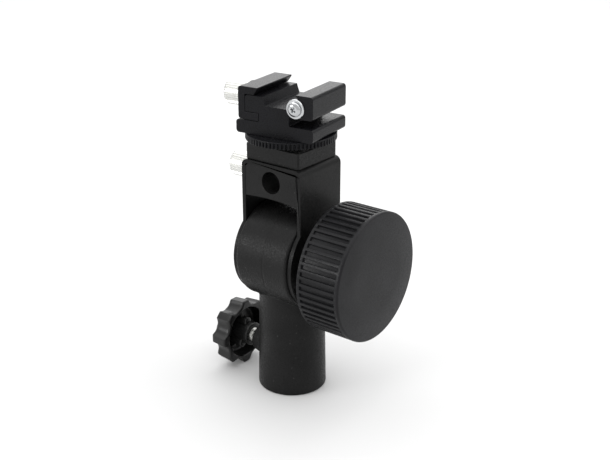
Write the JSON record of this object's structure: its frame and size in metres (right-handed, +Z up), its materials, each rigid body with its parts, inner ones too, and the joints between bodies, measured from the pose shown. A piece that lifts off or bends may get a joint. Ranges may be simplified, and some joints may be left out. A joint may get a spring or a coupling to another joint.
{
  "type": "umbrella swivel bracket",
  "caption": "Tilting bracket with a socket for a light stand, a hole for an umbrella shaft and a clamping shoe for a flash, locked by a large ribbed side knob.",
  "frame": {"origin": "centre of the stand socket's mouth, at the underside of the column", "axes": "+Z up along the stand spigot, +X along the tilt axis towards the large knob, -Y the side that the umbrella shaft and the flash foot enter from"},
  "size_m": [0.0743, 0.051, 0.1265],
  "materials": {
    "cast_body": "black powder coat on die cast alloy, fine grain, satin",
    "yoke_sheet": "black powder coat on bent steel sheet, satin",
    "anodised_shoe": "black anodised aluminium, fine satin, paler at grazing angles",
    "knob_plastic": "black moulded plastic with a fine matt texture",
    "star_plastic": "glossy black moulded plastic",
    "bright_nickel": "bright nickel plating on knurled brass",
    "chrome_screw": "chrome plated steel",
    "zinc_steel": "zinc plated steel, turned",
    "black_steel": "black oxide steel",
    "brass_bush": "plain turned brass",
    "fibre_disc": "dark pressed fibre"
  },
  "bodies": {
    "socket": {"stand_socket": "cast_body", "friction_discs": "fibre_disc"},
    "socket_lock_screw": {"star_knob_screw": "zinc_steel"},
    "socket_lock_knob": {"star_knob": "star_plastic"},
    "yoke": {"yoke_bracket": "yoke_sheet", "umbrella_block": "cast_body", "stud_block": "cast_body", "block_screws": "black_steel", "shoe_stud": "zinc_steel", "tilt_bolt": "black_steel", "tilt_bolt_washer": "black_steel", "knob_washer": "black_steel"},
    "tilt_lock_bush": {"knob_insert": "brass_bush"},
    "tilt_lock_knob": {"tilt_knob": "knob_plastic"},
    "umbrella_lock_stud": {"umbrella_screw_stud": "zinc_steel"},
    "umbrella_lock_head": {"umbrella_screw_head": "bright_nickel"},
    "ring": {"lock_ring": "anodised_shoe"},
    "shoe": {"shoe_base": "anodised_shoe", "stop_screw": "chrome_screw", "stop_screw_washer": "chrome_screw"},
    "jaw": {"shoe_jaw": "anodised_shoe"},
    "jaw_screw": {"jaw_screw_stud": "zinc_steel", "jaw_screw_collar": "black_steel", "jaw_screw_head": "bright_nickel"}
  },
  "joints": [
    {"name": "yoke_tilt", "type": "hinge", "parent": "socket", "child": "yoke", "pos_m": [0, 0, 0.058], "axis": [1, 0, 0], "range_deg": [-100, 100]},
    {"name": "tilt_knob_travel", "type": "slide", "parent": "yoke", "child": "tilt_lock_bush", "axis": [-1, 0, 0], "range_m": [-0.0026, 0]},
    {"name": "tilt_knob_turn", "type": "hinge", "parent": "tilt_lock_bush", "child": "tilt_lock_knob", "pos_m": [0.0221, 0, 0.058], "axis": [-1, 0, 0], "range_deg": [-720, 0]},
    {"name": "lock_screw_travel", "type": "slide", "parent": "socket", "child": "socket_lock_screw", "axis": [1, 0, 0], "range_m": [-0.0011, 0.0021]},
    {"name": "star_knob_turn", "type": "hinge", "parent": "socket_lock_screw", "child": "socket_lock_knob", "pos_m": [-0.0243, 0, 0.0145], "axis": [1, 0, 0], "range_deg": [-360, 720]},
    {"name": "umbrella_screw_travel", "type": "slide", "parent": "yoke", "child": "umbrella_lock_stud", "axis": [1, 0, 0], "range_m": [-0.0009, 0.0033]},
    {"name": "umbrella_screw_turn", "type": "hinge", "parent": "umbrella_lock_stud", "child": "umbrella_lock_head", "pos_m": [-0.023, 0, 0.0904], "axis": [1, 0, 0], "range_deg": [-360, 1440]},
    {"name": "lock_ring_turn", "type": "hinge", "parent": "yoke", "child": "ring", "pos_m": [0, 0, 0.107], "axis": [0, 0, 1], "continuous": true},
    {"name": "shoe_swivel", "type": "hinge", "parent": "yoke", "child": "shoe", "pos_m": [0, 0, 0.112], "axis": [0, 0, 1], "continuous": true},
    {"name": "jaw_slide", "type": "slide", "parent": "shoe", "child": "jaw", "axis": [0.9914, 0.1305, 0], "range_m": [-0.0016, 0]},
    {"name": "jaw_screw_turn", "type": "hinge", "parent": "jaw", "child": "jaw_screw", "pos_m": [-0.0228, -0.003, 0.1203], "axis": [0.9914, 0.1305, 0], "range_deg": [-770, 0]}
  ],
  "couplings": [
    {"joint": "tilt_knob_travel", "follows": "tilt_knob_turn", "m_per_rad": 0.00019894},
    {"joint": "lock_screw_travel", "follows": "star_knob_turn", "m_per_rad": 0.00015915},
    {"joint": "umbrella_screw_travel", "follows": "umbrella_screw_turn", "m_per_rad": 0.00012732},
    {"joint": "jaw_slide", "follows": "jaw_screw_turn", "m_per_rad": 0.00011141}
  ]
}
